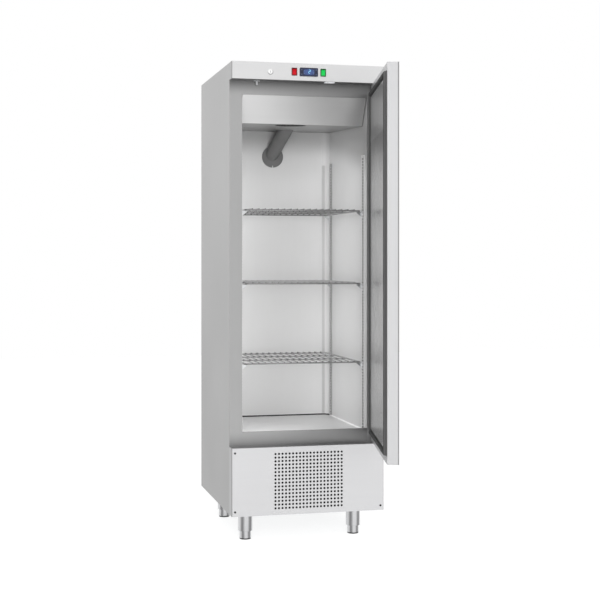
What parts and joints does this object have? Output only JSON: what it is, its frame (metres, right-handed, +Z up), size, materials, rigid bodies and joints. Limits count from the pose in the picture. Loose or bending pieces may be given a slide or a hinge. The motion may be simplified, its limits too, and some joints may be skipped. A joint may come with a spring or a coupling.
{
  "type": "refrigerated cabinet",
  "caption": "Upright commercial refrigerated cabinet with its door open, wire shelves on slotted uprights, a perforated lower panel and adjustable feet.",
  "frame": {"origin": "on the floor, in the middle of the four feet", "axes": "+X to the right as seen from the front, +Y from the front to the back, +Z up"},
  "size_m": [0.6019, 1.2603, 1.826],
  "materials": {
    "case_steel": "satin",
    "front_steel": "satin",
    "frame_steel": "satin",
    "liner_steel": "satin",
    "zinc_steel": "satin",
    "bright_steel": "polished",
    "painted_steel": "satin",
    "insulation_foam": "matte",
    "case_plastic": "matte",
    "black_plastic": "matte",
    "grey_plastic": "matte",
    "pale_plastic": "matte",
    "window_blue": "gloss",
    "red_plastic": "gloss",
    "green_plastic": "gloss",
    "gasket_rubber": "matte",
    "copper_pipe": "satin",
    "fin_aluminium": "satin"
  },
  "bodies": {
    "cabinet": {"left_side_panel": "case_steel", "right_side_panel": "case_steel", "top_panel": "case_steel", "rear_panel": "zinc_steel", "rear_grille": "zinc_steel", "front_frame": "frame_steel", "inner_liner": "liner_steel", "foam_insulation": "insulation_foam", "base_tray": "zinc_steel", "lower_panel": "front_steel", "panel_screws": "painted_steel", "control_panel": "front_steel", "controller_case": "case_plastic", "display_window": "window_blue", "switch_housings": "black_plastic", "lock_body": "bright_steel", "door_sensor": "pale_plastic", "lamp_lens": "pale_plastic", "upper_hinge": "zinc_steel", "lower_hinge": "zinc_steel", "shelf_uprights": "liner_steel", "shelf_clips": "liner_steel", "evaporator_cover": "liner_steel", "evaporator_coil": "fin_aluminium", "evaporator_motor": "zinc_steel", "air_duct": "grey_plastic", "drain_pipe": "grey_plastic", "condenser_coil": "fin_aluminium", "condenser_shroud": "painted_steel", "condenser_motor": "zinc_steel", "compressor": "painted_steel", "compressor_mounts": "gasket_rubber", "filter_drier": "copper_pipe", "refrigerant_pipes": "copper_pipe", "evaporation_tray": "black_plastic", "terminal_box": "pale_plastic", "cable_gland": "black_plastic", "leg_sleeves": "bright_steel"},
    "door": {"door_skin": "front_steel", "door_inner_panel": "frame_steel", "door_foam": "insulation_foam", "door_gasket": "gasket_rubber", "door_bushes": "black_plastic"},
    "lock": {"lock_barrel": "bright_steel", "lock_cam": "zinc_steel"},
    "red_switch": {"red_rocker": "red_plastic"},
    "green_switch": {"green_rocker": "green_plastic"},
    "key_upper_left": {"upper_left_key": "grey_plastic"},
    "key_lower_left": {"lower_left_key": "grey_plastic"},
    "key_upper_right": {"upper_right_key": "grey_plastic"},
    "key_lower_right": {"lower_right_key": "grey_plastic"},
    "shelf_top": {"top_shelf": "bright_steel"},
    "shelf_middle": {"middle_shelf": "bright_steel"},
    "shelf_bottom": {"bottom_shelf": "bright_steel"},
    "fan_evaporator": {"evaporator_fan": "black_plastic"},
    "fan_condenser": {"condenser_fan": "black_plastic"},
    "foot_front_left": {"front_left_foot": "bright_steel"},
    "foot_front_right": {"front_right_foot": "bright_steel"},
    "foot_rear_left": {"rear_left_foot": "bright_steel"},
    "foot_rear_right": {"rear_right_foot": "bright_steel"}
  },
  "joints": [
    {"name": "door_hinge", "type": "hinge", "parent": "cabinet", "child": "door", "pos_m": [0.3004, -0.2793, 0.3664], "axis": [0, 0, 1], "range_deg": [-78, 32]},
    {"name": "lock_turn", "type": "hinge", "parent": "cabinet", "child": "lock", "pos_m": [-0.134, -0.2955, 1.7895], "axis": [0, 1, 0], "range_deg": [0, 90]},
    {"name": "red_rocker_tilt", "type": "hinge", "parent": "cabinet", "child": "red_switch", "pos_m": [-0.04, -0.2905, 1.793], "axis": [1, 0, 0], "range_deg": [-14, 0]},
    {"name": "green_rocker_tilt", "type": "hinge", "parent": "cabinet", "child": "green_switch", "pos_m": [0.074, -0.2905, 1.793], "axis": [1, 0, 0], "range_deg": [-14, 0]},
    {"name": "upper_left_key_press", "type": "slide", "parent": "cabinet", "child": "key_upper_left", "axis": [0, 1, 0], "range_m": [0, 0.0006], "stiffness_N_per_m": 500},
    {"name": "lower_left_key_press", "type": "slide", "parent": "cabinet", "child": "key_lower_left", "axis": [0, 1, 0], "range_m": [0, 0.0006], "stiffness_N_per_m": 500},
    {"name": "upper_right_key_press", "type": "slide", "parent": "cabinet", "child": "key_upper_right", "axis": [0, 1, 0], "range_m": [0, 0.0006], "stiffness_N_per_m": 500},
    {"name": "lower_right_key_press", "type": "slide", "parent": "cabinet", "child": "key_lower_right", "axis": [0, 1, 0], "range_m": [0, 0.0006], "stiffness_N_per_m": 500},
    {"name": "top_shelf_pull", "type": "slide", "parent": "cabinet", "child": "shelf_top", "axis": [0, -1, 0], "range_m": [0, 0.09]},
    {"name": "middle_shelf_pull", "type": "slide", "parent": "cabinet", "child": "shelf_middle", "axis": [0, -1, 0], "range_m": [0, 0.09]},
    {"name": "bottom_shelf_pull", "type": "slide", "parent": "cabinet", "child": "shelf_bottom", "axis": [0, -1, 0], "range_m": [0, 0.09]},
    {"name": "evaporator_fan_spin", "type": "hinge", "parent": "cabinet", "child": "fan_evaporator", "pos_m": [-0.012, -0.1115, 1.62], "axis": [0, 0, 1], "continuous": true},
    {"name": "condenser_fan_spin", "type": "hinge", "parent": "cabinet", "child": "fan_condenser", "pos_m": [0.017, -0.1575, 0.2245], "axis": [0, 1, 0], "continuous": true},
    {"name": "front_left_foot_screw", "type": "slide", "parent": "cabinet", "child": "foot_front_left", "axis": [0, 0, -1], "range_m": [0, 0.04]},
    {"name": "front_right_foot_screw", "type": "slide", "parent": "cabinet", "child": "foot_front_right", "axis": [0, 0, -1], "range_m": [0, 0.04]},
    {"name": "rear_left_foot_screw", "type": "slide", "parent": "cabinet", "child": "foot_rear_left", "axis": [0, 0, -1], "range_m": [0, 0.04]},
    {"name": "rear_right_foot_screw", "type": "slide", "parent": "cabinet", "child": "foot_rear_right", "axis": [0, 0, -1], "range_m": [0, 0.04]}
  ]
}
